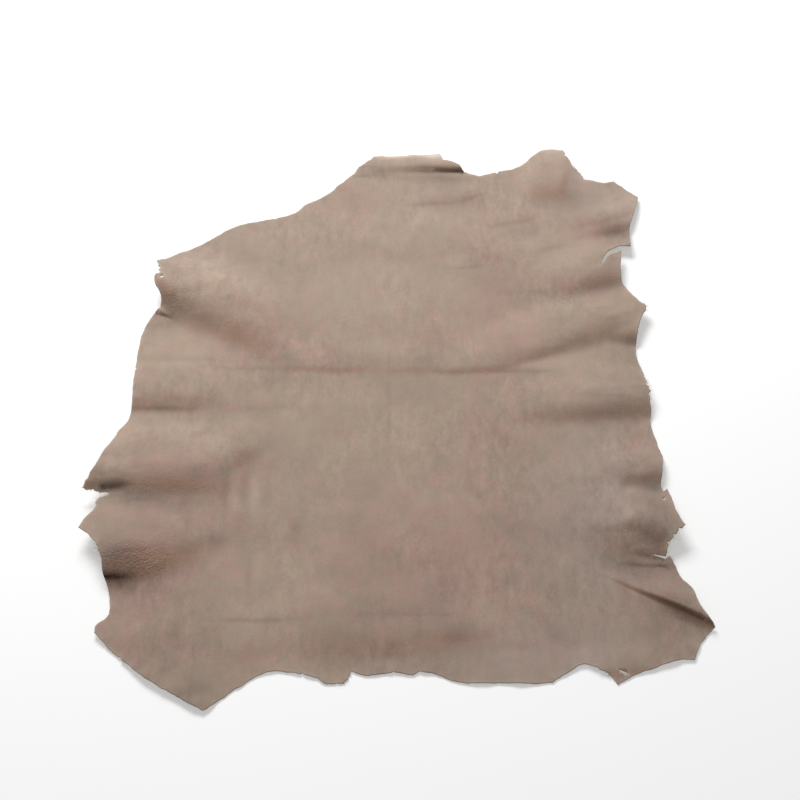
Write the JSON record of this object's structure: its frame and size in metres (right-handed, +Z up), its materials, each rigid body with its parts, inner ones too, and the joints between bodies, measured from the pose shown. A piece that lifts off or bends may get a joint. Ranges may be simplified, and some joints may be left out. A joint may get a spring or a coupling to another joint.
{
  "type": "loose leather hide",
  "caption": "Whole dressed hide of thin napped leather with a ragged natural outline, lying loose on a flat surface in soft folds.",
  "frame": {"origin": "centre of the bounding box in plan, at the level of the surface that the hide lies on", "axes": "+Z up from the surface, +Y from the butt to the neck along the backbone, +X to the right across the hide, seen with the neck away from the viewer"},
  "size_m": [0.82, 0.8962, 0.0217],
  "materials": {
    "hide_leather": "matte napped grey beige leather with faint pink patches"
  },
  "bodies": {
    "root": {"hide": "hide_leather"}
  },
  "joints": []
}
